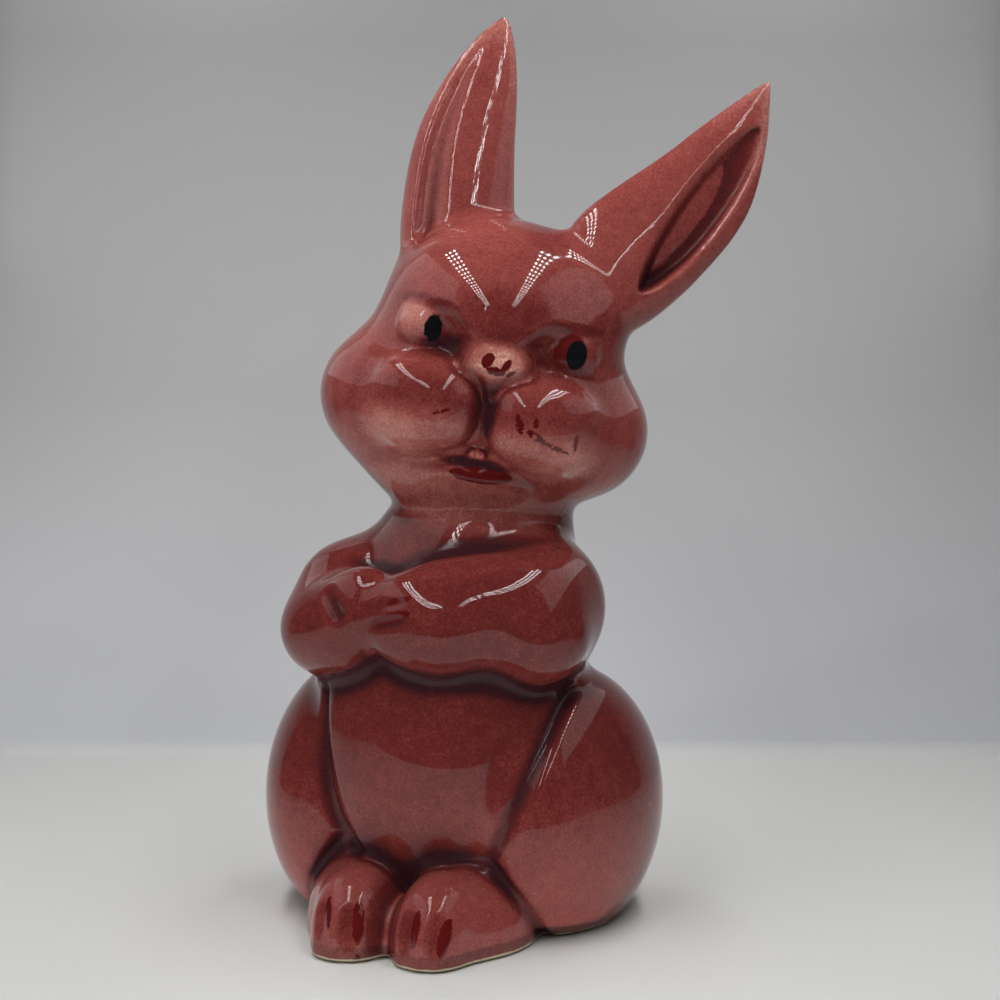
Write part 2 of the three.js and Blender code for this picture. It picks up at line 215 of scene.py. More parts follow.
def head(points):
    square = square_to_face(points)
    sides = [mirrored(square, side) for side in (1, -1)]
    forehead = egg(square, (0.3, -3, 9.5), (23, 19.8, 19.5))
    form = join(skull(square), forehead, 6)
    for half_face in sides:
        brow = taper(half_face, (3.4, -18.9, 8), (15, -15.6, 11.6), 2.8, 1.2)
        form = join(form, brow, 3.5)
    for half_face in sides:
        socket = egg(half_face, (13.4, -23, 5.4), (7.4, 5.4, 5.8), turned(0, -20))
        form = carve(form, socket, 3)
    for half_face in sides:
        trough = taper(half_face, (11.6, -20.6, 3.2), (6, -22, 2.8), 0.9, 0.9)
        form = carve(form, trough, 4)
    lower_lip = egg(square, (0.6, -14.8, -20.4), (10, 8.8, 4.4))
    form = join(form, lower_lip, 3)
    lobe_axes = turned(10, 0, 12)
    lobes = [block(half_face, (11.9, -16.4, -8.5), (11.8, 9.6, 10), 2.5, lobe_axes) for half_face in sides]
    muzzle = join(*lobes, 2.6)
    form = join(form, muzzle, 2)
    for half_face in sides:
        eye = egg(half_face, (15, -14.9, 6.7), (5.3, 4.4, 5.3))
        form = join(form, eye, 1.2)
    nostrils = taper(square, (-3.9, -20.2, 2.2), (4.6, -20.2, 2.6), 3.3, 3.3)
    nose_point = taper(square, (0.6, -20.6, 0.4), (0.9, -21.3, -4.4), 2.9, 0.9)
    form = join(form, join(nostrils, nose_point, 3), 1.6)
    for across in (-0.7, 1.3):
        tooth = egg(square, (across, -20.4, -16.4), (0.9, 1.6, 1))
        form = join(form, tooth, 0.8)
    return form


# Ears: two solid leaves of clay, luted to the top of the head with slip and smoothed over. The right one
# has one long flute pressed into its front, the left one a leaf-shaped hollow. Both are drawn out to a point.
EAR_FRONT = np.array([0.342, -0.94, 0])
EARS = {
    "right": {
        "root": (-4, 4, 128), "tip": (8.4, 12, 189.4), "bow": (-2.6, 0, 0), "sway": (2.4, 0),
        "half_width": 12.6, "drawn_out": (2.8, 0.77), "hollow_depth": 0,
        "flutes": ((-0.52, 0.2, 2.6),),
    },
    "left": {
        "root": (30, 8, 126.5), "tip": (63.9, 16, 173.9), "bow": (0.9, 0, -0.7), "sway": (-2.6, 1.5),
        "half_width": 14, "drawn_out": (2.6, 1.02), "hollow_depth": 4,
        "flutes": (),
    },
}
EAR_HALF_THICKNESS = 8.5
EAR_SUNK_SHARE = 0.12
EAR_CAUTION = 0.6
EAR_HOLLOW_HALF_WIDTH = 5.6
EAR_HOLLOW_ASIDE = 3.5
EAR_HOLLOW_EDGE = 3
EAR_HOLLOW_MIDDLE_SHARE = 0.49
EAR_HOLLOW_HALF_LENGTH_SHARE = 0.35


def ramp(values):
    """A smooth rise from 0 to 1."""
    values = np.clip(values, 0, 1)
    return values * values * (3 - 2 * values)


def ear(points, root, tip, bow, sway, half_width, drawn_out, hollow_depth, flutes):
    """Distance to an ear, taken cautiously, since the leaf narrows fast towards its tip."""
    root = np.array(root, float)
    run = np.array(tip, float) - root
    length = np.linalg.norm(run)
    along = run / length
    front = EAR_FRONT - along * (EAR_FRONT @ along)
    front /= np.linalg.norm(front)
    across = np.cross(along, front)
    local = points - root.astype(np.float32)
    share = local @ along.astype(np.float32) / np.float32(length)
    inside = np.clip(share, 0, 1)
    local = local - (4 * inside * (1 - inside))[:, None] * np.array(bow, np.float32)

    width = np.clip(1 - inside ** drawn_out[0], 0.003, 1) ** drawn_out[1]
    width = width * (1 - 3 * np.clip(0.3 - share, 0, 0.4) ** 2)
    aside = local @ across.astype(np.float32)
    swayed = (sway[0] + (sway[1] - sway[0]) * ramp((share - 0.15) / 0.5)) * (1 - inside**6)
    sideways = (aside - swayed) / (half_width * width)
    forward = local @ front.astype(np.float32) / EAR_HALF_THICKNESS
    front_thickness = 0.95 * np.clip(1 - inside, 0.001, 1) ** 0.9 + 0.3 * (1 - inside) ** 4
    forward = forward / np.where(forward > 0, front_thickness, width)
    form = (np.hypot(sideways, forward) - 1) * EAR_HALF_THICKNESS * width

    on_front = np.clip(0.5 + 2 * forward, 0, 1)
    fades = np.clip((share + 0.05) / 0.2, 0, 1) * np.clip((0.97 - share) / 0.2, 0, 1)
    for place, spread, depth in flutes:
        form = form + depth * width * on_front * fades * np.exp(-(((sideways - place) / spread) ** 2))
    from_middle = (share - EAR_HOLLOW_MIDDLE_SHARE) / EAR_HOLLOW_HALF_LENGTH_SHARE
    leaf = EAR_HOLLOW_HALF_WIDTH * np.sqrt(np.clip(1 - from_middle**2, 0, 1))
    within = ramp((leaf - np.abs(aside - EAR_HOLLOW_ASIDE)) / EAR_HOLLOW_EDGE)
    form = form + hollow_depth * on_front * within
    form = np.maximum(form, (share - 1) * length)
    form = np.maximum(form, (-EAR_SUNK_SHARE - share) * length)
    return form * EAR_CAUTION


# Casting: slip cast in a plaster mould and drained, so the figure is one shell of even wall with its ears
# on. A round hole in the back takes a cotton ball, and a drain hole opens in the flat foot.
# The skin is drawn in by a small allowance, so that none of it stands out of the solids' box.
WALL = 4.5
FLOOR = 5
TAIL_HOLE_RADIUS = 13
TAIL_HOLE_HEIGHT = 40
TAIL_HOLE_START = 20
TAIL_HOLE_ROUNDING = 2
DRAIN_HOLE_RADIUS = 8
DRAIN_HOLE_PLACE = (1, 15)
DRAIN_HOLE_ROUNDING = 1
FOOT_ROUNDING = 1.4
SKIN_ALLOWANCE = 0.06
SKIN_STEP = 0.6
HOLLOW_STEP = 2.4
PER_METRE = 1000


def figure(points):
    form = carve(trunk(points), haunch_tool(points), 3)
    form = join(with_limbs(points, form), head(points), 3)
    for leaf in EARS.values():
        form = join(form, ear(points, **leaf), 3)
    tail_bore = np.hypot(points[:, 0], points[:, 2] - TAIL_HOLE_HEIGHT) - TAIL_HOLE_RADIUS
    tail_hole = np.maximum(tail_bore, TAIL_HOLE_START - points[:, 1])
    form = carve(form, tail_hole, TAIL_HOLE_ROUNDING)
    drain = np.hypot(points[:, 0] - DRAIN_HOLE_PLACE[0], points[:, 1] - DRAIN_HOLE_PLACE[1])
    drain_hole = np.maximum(drain - DRAIN_HOLE_RADIUS, points[:, 2] - FLOOR - 2)
    form = carve(form, drain_hole, DRAIN_HOLE_ROUNDING)
    return carve(form + SKIN_ALLOWANCE, points[:, 2], FOOT_ROUNDING)


def hollow(points):
    core = join(trunk(points), skull(square_to_face(points)), 3)
    return np.maximum(core + WALL, FLOOR - points[:, 2])


def slope(field, points, reach=0.05):
    """Direction in which a field grows at each point, and how fast."""
    steps = np.eye(3, dtype=np.float32) * reach
    return np.stack([(field(points + s) - field(points - s)) / (2 * reach) for s in steps], -1)


def skin(field, low, high, step):
    """Quads where a field is zero between two corners, each point drawn onto the field itself."""
    brick = 4
    counts = [math.ceil((end - start) / step / brick) for start, end in zip(low, high)]
    corners = np.stack(np.meshgrid(*map(np.arange, counts), indexing="ij"), -1).reshape(-1, 3) * brick
    cells = np.stack(np.meshgrid(*[np.arange(brick)] * 3, indexing="ij"), -1).reshape(-1, 3)
    origin = np.array(low, np.float32)
    middles = (origin + step * (corners + (brick - 1) / 2)).astype(np.float32)
    values = np.repeat(field(middles)[:, None], brick**3, 1)
    near = np.flatnonzero(np.abs(values[:, 0]) < 1.5 * brick * step)
    for some in np.array_split(near, 40):
        points = origin + step * (corners[some, None] + cells).reshape(-1, 3)
        values[some] = field(points.astype(np.float32)).reshape(-1, brick**3)
    values = values.reshape(*counts, brick, brick, brick).transpose(0, 3, 1, 4, 2, 5)
    grid = openvdb.FloatGrid(float(values.max()))
    grid.copyFromArray(np.ascontiguousarray(values.reshape([count * brick for count in counts])))
    points, quads = grid.convertToQuads()
    points = (origin + step * points).astype(np.float32)
    for _ in range(2):
        lean = slope(field, points)
        pull = field(points) / np.maximum((lean**2).sum(-1), 0.05)
        points = points - np.clip(pull, -0.4 * step, 0.4 * step)[:, None] * lean
    return points, quads[:, ::-1]


def in_scene(name, data):
    """An object of the scene that holds a mesh, a lamp or a camera."""
    made = bpy.data.objects.new(name, data)
    bpy.context.scene.collection.objects.link(made)
    return made


def body_of(name, points, faces):
    """An object made of points in millimetres."""
    mesh = bpy.data.meshes.new(name)
    mesh.from_pydata((points / PER_METRE).tolist(), [], faces.tolist())
    mesh.validate()
    return in_scene(name, mesh)


rabbit = body_of("glazed_rabbit", *skin(figure, (-46, -44, -2), (70, 44, 192), SKIN_STEP))
drained = body_of("drained_hollow", *skin(hollow, (-46, -44, 0), (52, 44, 150), HOLLOW_STEP))
cut = rabbit.modifiers.new("drained", "BOOLEAN")
cut.object = drained
cut.solver = "MANIFOLD"
bpy.context.view_layer.update()
shell = bpy.data.meshes.new_from_object(rabbit.evaluated_get(bpy.context.evaluated_depsgraph_get()))
rabbit.modifiers.clear()
rabbit.data = shell
bpy.data.objects.remove(drained)
shell.shade_smooth()
shell.set_sharp_from_angle(angle=math.radians(50))


# Glaze: a glossy translucent maroon over the cream clay, sprayed on, so it is finely speckled. It gathers
# dark and dull in every crease, breaks paler over edges, and is wiped off the foot. Nose, mouth, muzzle,
# fingers and toes have red brush strokes over it, and the pupils are matt black. Painted light is mixed into
# the glaze colour as well: painted shade on the body below the head, the mouth slit and the upper halves of
# the muzzle lobes, and painted reflection of the pale table on the lower face and towards the foot.

# Flat drawings in millimetres, seen from the front. A place on the face has its centre, its half size and
# what it changes there. A stroke has its two ends and its half width.
# Paler places: the eyeball, the nose and the teeth have paler glaze; the lower halves of the muzzle lobes and
# both lower cheeks are painted reflection of the pale table, and the chin is painted light.
PALER_GLAZE_AND_PAINTED_LIGHT_PLACES = (
    ((-16.4, 6.9), (4, 4.4), -0.3),
    ((0.4, 2.4), (6.6, 3.8), -0.36),
    ((0.3, -16.4), (1.6, 0.9), -0.3),
    ((-12, -14), (11, 6), -0.16),
    ((12, -14), (11, 6), -0.16),
    ((-1, -26.5), (18, 6.5), -0.26),
    ((-20, -19), (9, 8), -0.12),
    ((21, -19), (9, 8), -0.12),
)
# Thicker places darken the glaze at the inner eye troughs, the philtrum, between the brows and along the
# eyelid creases; the mouth slit is gathered glaze and painted shade under the upper lip, and the last two are
# painted shade on the upper halves of the muzzle lobes.
THICKER_GLAZE_AND_PAINTED_SHADE_PLACES = (
    ((-8.6, 3.6), (6, 2.2), 0.3),
    ((8.6, 4.6), (5, 2), 0.05),
    ((0.9, -7.6), (1.5, 5), 0.3),
    ((0, 11), (9, 6), 0.14),
    ((0.6, -18.2), (7, 1), 0.4),
    ((-15, 11.6), (5.4, 1.3), 0.18),
    ((15, 11.6), (5, 1.2), 0.18),
    ((-12.5, -5.5), (10, 4.5), 0.13),
    ((12.5, -6), (10, 4.5), 0.13),
)
DULLER_PLACES = (
    ((0.6, -18), (8.5, 2.8), 0.7),
    ((8.2, 4.6), (4.4, 3.4), 0.6),
    ((-8.2, 4), (4.4, 3), 0.6),
)
NOSE_AND_MOUTH_STROKES = (
    ((-1.8, 1), (-0.4, 4), 1.2),
    ((-1.2, 0.8), (2.8, 0.6), 0.9),
    ((2, 0.9), (3.4, 3.4), 0.8),
    ((3, 0.1), (4.6, 1.3), 0.5),
    ((-4.6, -20.6), (8.2, -20), 1.6),
)
MUZZLE_STROKES = (
    ((6.6, -6.4), (8.2, -10.4), 0.85),
    ((10.5, -6.6), (10.6, -8.6), 0.6),
    ((8.4, -9), (13.6, -11.5), 0.75),
    ((12.4, -11), (18.2, -12.7), 0.55),
    ((18.9, -8.5), (19.1, -12), 0.5),
    ((-9.8, -9.6), (-6.4, -8), 0.4),
)
FINGER_AND_TOE_STROKES = (
    ((0, 69.6), (5, 71), 0.8),
    ((-3.6, 65.6), (5.2, 68.2), 1.1),
    ((-11.1, 12), (-10, 6.4), 0.9),
    ((-5, 11.6), (-4.1, 3.6), 1.2),
    ((8.2, 11.4), (7.8, 4.6), 1.1),
    ((13.8, 10), (13.1, 3), 1.2),
    ((-4.1, 2.2), (-4.1, 0.6), 0.5),
)
GLAZE_COLOURS = (
    (0, (0.74, 0.54, 0.4)),
    (0.2, (0.36, 0.14, 0.113)),
    (0.45, (0.205, 0.047, 0.04)),
    (0.72, (0.095, 0.0138, 0.0118)),
    (1, (0.03, 0.008, 0.0105)),
)
RED_PAINT = (0.07, 0.004, 0.004)
IRIS_PAINT = (0.08, 0.006, 0.005)
BLACK_PAINT = (0.005, 0.005, 0.006)
BARE_CLAY = (0.72, 0.6, 0.4)


def set_value(mesh, name, values):
    mesh.attributes.new(name, "FLOAT", "POINT").data.foreach_set("value", values.astype(np.float32))


def glaze_flow(mesh):
    """How the glaze ran: gathered in hollows and thin over ridges, each from none, 0, to full, 1."""
    points = np.empty(len(mesh.vertices) * 3, np.float32)
    mesh.vertices.foreach_get("co", points)
    points = points.reshape(-1, 3) * PER_METRE
    lean = slope(figure, points)
    steepness = np.maximum(np.linalg.norm(lean, axis=-1), 0.2)
    out = lean / steepness[:, None]
    gathered = np.clip(0.2 - haunch_tool(points) / 4, 0, 0.25)
    seat = trunk(points)
    for limb, spread, depth in ((feet, 2, 0.45), (left_arm, 4, 0.6), (right_arm, 4, 0.6)):
        gathered += depth * np.clip(1 - np.maximum(seat, limb(points)) / spread, 0, 1)
    for reach, share in ((1.2, 0.4), (2.6, 0.34), (5, 0.18)):
        gathered += share * np.clip(1 - figure(points + out * reach) / reach / steepness, 0, 1)
    smooth_leaf = {**EARS["left"], "hollow_depth": 0}
    gathered += 0.02 * np.clip(ear(points, **EARS["left"]) - ear(points, **smooth_leaf), 0, 2)
    thin = np.zeros(len(points), np.float32)
    for reach in (1, 2):
        thin += np.clip(1 + figure(points - out * reach) / reach / steepness, 0, 1) / 2
    set_value(mesh, "gathered", gathered)
    set_value(mesh, "thin", thin)
    set_value(mesh, "unglazed", np.abs(hollow(points)) < 0.6)


class Tone:
    """A shader socket that Python sums work on: each operator adds the Math node that does it."""

    def __init__(self, tree, socket=None):
        self.tree = tree
        self.socket = socket

    def node(self, kind, settings, values, out=0):
        """Adds a node, sets it up, fills or links its sockets, and gives one of its outputs."""
        made = self.tree.nodes.new(f"ShaderNode{kind}")
        stops = settings.pop("stops", ())
        for name, setting in settings.items():
            setattr(made, name, setting)
        for _ in stops[2:]:
            made.color_ramp.elements.new(0.5)
        for element, (position, colour) in zip(made.color_ramp.elements if stops else (), stops):
            element.position = position
            element.color = (*colour, 1)
        for name, value in values.items():
            if isinstance(value, Tone):
                self.tree.links.new(value.socket, made.inputs[name])
            else:
                made.inputs[name].default_value = value
        return Tone(self.tree, made.outputs[out] if made.outputs else None)

    def math(self, operation, *values, clamped=False):
        return self.node("Math", {"operation": operation, "use_clamp": clamped}, dict(enumerate(values)))

    def __add__(self, other):
        return self.math("ADD", self, other)

    def __sub__(self, other):
        return self.math("SUBTRACT", self, other)

    def __rsub__(self, other):
        return self.math("SUBTRACT", other, self)

    def __mul__(self, other):
        return self.math("MULTIPLY", self, other)

    def __truediv__(self, other):
        return self.math("DIVIDE", self, other)

    def __pow__(self, other):
        return self.math("POWER", self, other)

    __radd__ = __add__
    __rmul__ = __mul__


def new_material(name):
    """A material, its shader, and a tone to start its sums from."""
    material = bpy.data.materials.new(name)
    material.use_nodes = True
    tree = material.node_tree
    return material, tree.nodes["Principled BSDF"], Tone(tree)


def feed(tone, node, name):
    """Links a tone to a socket of a node that is already there."""
    tone.tree.links.new(tone.socket, node.inputs[name])


def mix_in(start, shader, share, other):
    """Gives a material its own shader mixed with another one."""
    own = Tone(start.tree, shader.outputs[0])
    mixed = start.node("MixShader", {}, {0: share, 1: own, 2: other})
    feed(mixed, start.tree.nodes["Material Output"], "Surface")


def in_metres(start):
    return start.node("TexCoord", {}, {}, out="Object")


def in_millimetres(start):
    return start.node("VectorMath", {"operation": "SCALE"}, {0: in_metres(start), "Scale": PER_METRE})


def measure(place, axis):
    """How far along an axis a place lies."""
    return place.node("VectorMath", {"operation": "DOT_PRODUCT"}, {0: place, 1: axis}, out="Value")


def grain(place, per_millimetre, detail=2):
    """Noise from 0 to 1 whose grains lie that close together."""
    values = {"Vector": place, "Scale": per_millimetre, "Detail": detail}
    return place.node("TexNoise", {}, values, out="Fac")


def paint(mask, colour, under):
    """A colour laid over another where a mask is 1."""
    settings = {"data_type": "RGBA"}
    return mask.node("Mix", settings, {0: mask, 6: under, 7: (*colour, 1)}, out=2)


def stroke(x, z, start, end, half_width, edge=0.25):
    """Mask of a brush stroke between two points of a flat drawing, pointed at both ends."""
    run = (end[0] - start[0], end[1] - start[1])
    length_squared = run[0] ** 2 + run[1] ** 2
    dx = x - start[0]
    dz = z - start[1]
    along = x.math("ADD", (dx * run[0] + dz * run[1]) / length_squared, 0, clamped=True)
    gap = ((dx - along * run[0]) ** 2 + (dz - along * run[1]) ** 2) ** 0.5
    reach = half_width * (4 * along * (1 - along)) ** 0.5
    return x.math("ADD", (reach - gap) / edge, 0.3, clamped=True)


def spot(x, z, centre, half, edge=0.08):
    """Mask of an oval of a flat drawing."""
    size = (((x - centre[0]) / half[0]) ** 2 + ((z - centre[1]) / half[1]) ** 2) ** 0.5
    return x.math("ADD", (1 - size) / edge, 0.5, clamped=True)


def changed_at(places, tone, mask, x, z, edge):
    """A tone that is raised or lowered at places of a flat drawing."""
    for centre, half, change in places:
        tone = tone + change * mask * spot(x, z, centre, half, edge)
    return tone


def brushed(strokes, colour, mask, x, z):
    """A colour with strokes of red paint over it."""
    for one_end, other_end, half_width in strokes:
        colour = paint(mask * stroke(x, z, one_end, other_end, half_width), RED_PAINT, colour)
    return colour


def glaze_material():
    material, shader, start = new_material("maroon_glaze")
    place = in_millimetres(start)
    x, y, z = (measure(place, axis) for axis in ((1, 0, 0), (0, 1, 0), (0, 0, 1)))
    from_head = start.node("VectorMath", {"operation": "SUBTRACT"}, {0: place, 1: HEAD_CENTRE})
    face_x, face_y, face_z = (measure(from_head, axis) for axis in HEAD_AXES.T.tolist())
    on_face = start.math("LESS_THAN", face_y, -10)
    on_front = start.math("LESS_THAN", y, -24)
    gathered, thin, unglazed = (
        start.node("Attribute", {"attribute_name": name}, {}, out="Fac")
        for name in ("gathered", "thin", "unglazed")
    )
    fine = grain(place, 4.5) - 0.5
    speckle = grain(place, 2, 3) - 0.5
    mottle = grain(place, 0.45, 3) - 0.5
    cloud = grain(place, 0.07) - 0.5

    pooled = start.math("MULTIPLY", gathered, 1.7, clamped=True)
    # Painted shade: the body below the head is darkened, as it lies further from the overhead lamps. Painted
    # light: the glaze pales towards the foot (low) for light bounced up from the pale table.
    painted_shade_below_head = start.math("SUBTRACT", 3.4, z / 30, clamped=True)
    low = start.math("SUBTRACT", 1.7, z / 20, clamped=True)
    glaze_depth_and_painted_light = 0.53 + 0.19 * painted_shade_below_head - 0.2 * low + 0.5 * pooled - 0.26 * thin
    glaze_depth_and_painted_light = glaze_depth_and_painted_light + 0.36 * speckle + 0.22 * fine + 0.18 * mottle + 0.14 * cloud
    for leaf in EARS.values():
        values = {0: place, 1: leaf["tip"]}
        gap = start.node("VectorMath", {"operation": "DISTANCE"}, values, out="Value")
        glaze_depth_and_painted_light = glaze_depth_and_painted_light - 0.55 * start.math("SUBTRACT", 1, gap / 1.1, clamped=True)
    glaze_depth_and_painted_light = changed_at(PALER_GLAZE_AND_PAINTED_LIGHT_PLACES, glaze_depth_and_painted_light, on_face, face_x, face_z, 0.5)
    glaze_depth_and_painted_light = changed_at(THICKER_GLAZE_AND_PAINTED_SHADE_PLACES, glaze_depth_and_painted_light, on_face, face_x, face_z, 0.8)
    colour = start.node("ValToRGB", {"stops": GLAZE_COLOURS}, {0: glaze_depth_and_painted_light})

    wobble = (grain(place, 1.3) - 0.5) * 0.8
    drawn_x = face_x + wobble
    drawn_z = face_z + wobble
    worn = start.math("ADD", (grain(place, 0.9) - 0.36) / 0.08, 0, clamped=True)
    colour = brushed(NOSE_AND_MOUTH_STROKES, colour, on_face, drawn_x, drawn_z)
    colour = brushed(MUZZLE_STROKES, colour, on_face * worn, drawn_x, drawn_z)
    colour = brushed(FINGER_AND_TOE_STROKES, colour, on_front, x + wobble, z + wobble)
    iris = spot(face_x, face_z, (14.6, 6.8), (3.3, 3.8))
    colour = paint(on_face * iris, IRIS_PAINT, colour)
    left_pupil = spot(face_x, face_z, (16, 6.6), (2.05, 2.95))
    right_pupil = spot(drawn_x, drawn_z, (-13, 6.5), (1.75, 2.75), 0.12)
    pupils = on_face * (left_pupil + right_pupil)
    colour = paint(pupils, BLACK_PAINT, colour)

    wiped = start.math("ADD", (0.9 + 0.5 * mottle - z) / 0.3, 0.5, clamped=True)
    bare = start.math("MAXIMUM", wiped, unglazed)
    colour = paint(bare, BARE_CLAY, colour)
    roughness = 0.035 + 0.03 * mottle + 0.25 * pooled + 0.5 * bare
    height = grain(place, 0.22) + 0.03 * speckle
    bump = start.node("Bump", {}, {"Height": height, "Strength": 0.05, "Distance": 0.0004}, out="Normal")
    feed(colour, shader, "Base Color")
    feed(roughness, shader, "Roughness")
    feed(bump, shader, "Normal")
    shader.inputs["IOR"].default_value = 1.48

    dull = 0.85 * pupils + 0.75 * pooled**1.5
    dull = changed_at(DULLER_PLACES, dull, on_face, face_x, face_z, 0.5)
    matt = start.node("BsdfDiffuse", {}, {"Color": colour})
    mix_in(start, shader, start.math("MINIMUM", dull, 0.9), matt)
    return material


glaze_flow(shell)
shell.materials.clear()
shell.materials.append(glaze_material())
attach(rabbit, "figure")
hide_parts("body_casting", "ear_left", "ear_right")


# Cotton balls: bleached cotton wool, a teased lap of fibre rolled into a soft ball with loose fibres all
# over it. Five lie loose in the belly, and one sits in the hole in the back as the tail.
# Lap and fibres are made on a ball of radius 1.
WOOL_SEED = 1
FIBRE_RADIUS = 0.0055
FIBRE_SIDES = 3
FIBRE_RINGS = 6
FIBRE_HIGHEST = 0.985


def cotton_material():
    material, shader, start = new_material("cotton_wool")
    fibres = grain(in_millimetres(start), 1.6, 6)
    stops = ((0.25, (0.74, 0.73, 0.7)), (0.6, (0.88, 0.875, 0.86)))
    colour = start.node("ValToRGB", {"stops": stops}, {0: fibres})
    bump = start.node("Bump", {}, {"Height": fibres, "Strength": 0.6, "Distance": 0.0006}, out="Normal")
    feed(colour, shader, "Base Color")
    feed(bump, shader, "Normal")
    shader.inputs["Roughness"].default_value = 0.95
    shader.inputs["Sheen Weight"].default_value = 0.4
    return material


def wool(direction, seed):
    """How far the rolled lap stands out in a direction."""
    drift = noise.noise_vector(direction * 1.4 + Vector((seed * 3.1, 0, 7)))
    swirl = noise.fractal(direction * 2.2 + drift * 0.9 + Vector((0, seed * 1.7, 0)), 0.9, 2.1, 4)
    fold = abs(noise.noise(direction * 3 + drift * 1.6 + Vector((seed, 5, 0))))
    return 0.915 + 0.035 * swirl - 0.05 * max(0.25 - fold, 0) / 0.25


def fibre_points(rng, seed):
    """Rings of points along one fibre, which leaves the lap in an arc and comes back to it."""
    start = Vector(rng.normal(size=3)).normalized()
    way = start.cross(Vector(rng.normal(size=3))).normalized()
    span = rng.uniform(0.25, 0.7)
    lift = rng.uniform(0.01, 0.075)
    twist = rng.uniform(-0.5, 0.5)
    points = []
    for i in range(FIBRE_RINGS):
        share = i / (FIBRE_RINGS - 1)
        turn = span * share
        side = start.cross(way) * twist * span * share**2
        line = (start * math.cos(turn) + way * math.sin(turn) + side).normalized()
        height = min(wool(line, seed) + lift * math.sin(math.pi * share) - 0.006, FIBRE_HIGHEST)
        for corner in range(FIBRE_SIDES):
            around = corner * 2 * math.pi / FIBRE_SIDES
            ring = way.cross(line) * math.cos(around) + line * math.sin(around)
            points.append(line * height + ring * FIBRE_RADIUS)
    return points


def fibre_faces(first):
    """Sides and both ends of a fibre, given the number of its first point."""
    faces = []
    for i in range(FIBRE_RINGS - 1):
        for corner in range(FIBRE_SIDES):
            a = first + FIBRE_SIDES * i + corner
            b = first + FIBRE_SIDES * i + (corner + 1) % FIBRE_SIDES
            faces.append((a, b, b + FIBRE_SIDES, a + FIBRE_SIDES))
    last = first + FIBRE_SIDES * (FIBRE_RINGS - 1)
    faces.append(tuple(reversed(range(first, first + FIBRE_SIDES))))
    faces.append(tuple(range(last, last + FIBRE_SIDES)))
    return faces


def cotton_ball(name, node, seed, fineness, fibre_count):
    low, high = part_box(node)
    centre = (low + high) / 2
    radius = (high - low).z / 2
    bpy.ops.mesh.primitive_ico_sphere_add(subdivisions=fineness, radius=1)
    lap = bpy.context.object
    points = [vertex.co * wool(vertex.co, seed) for vertex in lap.data.vertices]
    faces = [tuple(polygon.vertices) for polygon in lap.data.polygons]
    bpy.data.objects.remove(lap)
    rng = np.random.default_rng(seed)
    for _ in range(fibre_count):
        faces += fibre_faces(len(points))
        points += fibre_points(rng, seed)
    mesh = bpy.data.meshes.new(name)
    mesh.from_pydata([centre + point * radius for point in points], [], faces)
    mesh.shade_smooth()
    mesh.materials.append(cotton_wool)
    made = in_scene(name, mesh)
    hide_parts(node)
    return made


# Vector noise starts from the clock unless it is given a seed.
noise.seed_set(WOOL_SEED)
cotton_wool = cotton_material()
tail = cotton_ball("tail_cotton", "tail_cotton_ball", 1, 5, 700)
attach(tail, "tail")
for number in range(1, 6):
    loose = cotton_ball(f"loose_cotton_{number}", f"cotton_ball_{number}", 10 + number, 4, 120)
    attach(loose, "figure")


# Table and backdrop: one sheet of pale card that sweeps up behind the figure, square to the camera. The
# card ends a little in front of the figure, so the glaze mirrors a pale table and then the dim room.
VIEW_TURN = math.radians(20)
CARD_BACK = 0.157
CARD_FRONT = -0.17
CARD_HALF_WIDTH = 0.34
CARD_HEIGHT = 0.42
CARD_BEND = 0.005
CARD_BEND_STEPS = 8
CARD_DROP = 0.0001
CARD_SHADING_HEIGHT = 0.25
DIM_ROOM = (0.045, 0.045, 0.047, 1)
PALE_ROOM = (0.42, 0.42, 0.43, 1)


def across_view(u, v, height):
    """A point that far to the right of, behind and above the foot of the figure, as the camera sees it."""
    right = Vector((math.cos(VIEW_TURN), math.sin(VIEW_TURN), 0))
    back = Vector((-math.sin(VIEW_TURN), math.cos(VIEW_TURN), 0))
    return right * u + back * v + Vector((0, 0, height))


def card_material():
    """Card darkened by painted shade as it rises, and clear from behind."""
    material, shader, start = new_material("pale_card")
    height = measure(in_metres(start), (0, 0, 1 / CARD_SHADING_HEIGHT))
    # Painted shade: pale and a little blue just above the floor, darker towards the top.
    stops = (
        (0, (0.54, 0.54, 0.53)),
        (0.02, (0.58, 0.59, 0.62)),
        (0.43, (0.35, 0.35, 0.35)),
        (0.85, (0.21, 0.21, 0.21)),
    )
    feed(start.node("ValToRGB", {"stops": stops}, {0: height}), shader, "Base Color")
    shader.inputs["Roughness"].default_value = 0.7
    behind = start.node("NewGeometry", {}, {}, out="Backfacing")
    mix_in(start, shader, behind, start.node("BsdfTransparent", {}, {}))
    return material


profile = [(CARD_FRONT, 0), (CARD_BACK - CARD_BEND, 0)]
for i in range(1, CARD_BEND_STEPS + 1):
    turn = math.pi / 2 * i / CARD_BEND_STEPS
    v = CARD_BACK - CARD_BEND + CARD_BEND * math.sin(turn)
    profile.append((v, CARD_BEND - CARD_BEND * math.cos(turn)))
profile.append((CARD_BACK, CARD_HEIGHT))
card_points = []
for v, height in profile:
    for u in (-CARD_HALF_WIDTH, CARD_HALF_WIDTH):
        card_points.append(across_view(u, v, height - CARD_DROP))
card_faces = [(2 * i, 2 * i + 1, 2 * i + 3, 2 * i + 2) for i in range(len(profile) - 1)]
card_mesh = bpy.data.meshes.new("card_sweep")
card_mesh.from_pydata(card_points, [], card_faces)
card_mesh.shade_smooth()
card_mesh.materials.append(card_material())
card_sweep = in_scene("card_sweep", card_mesh)

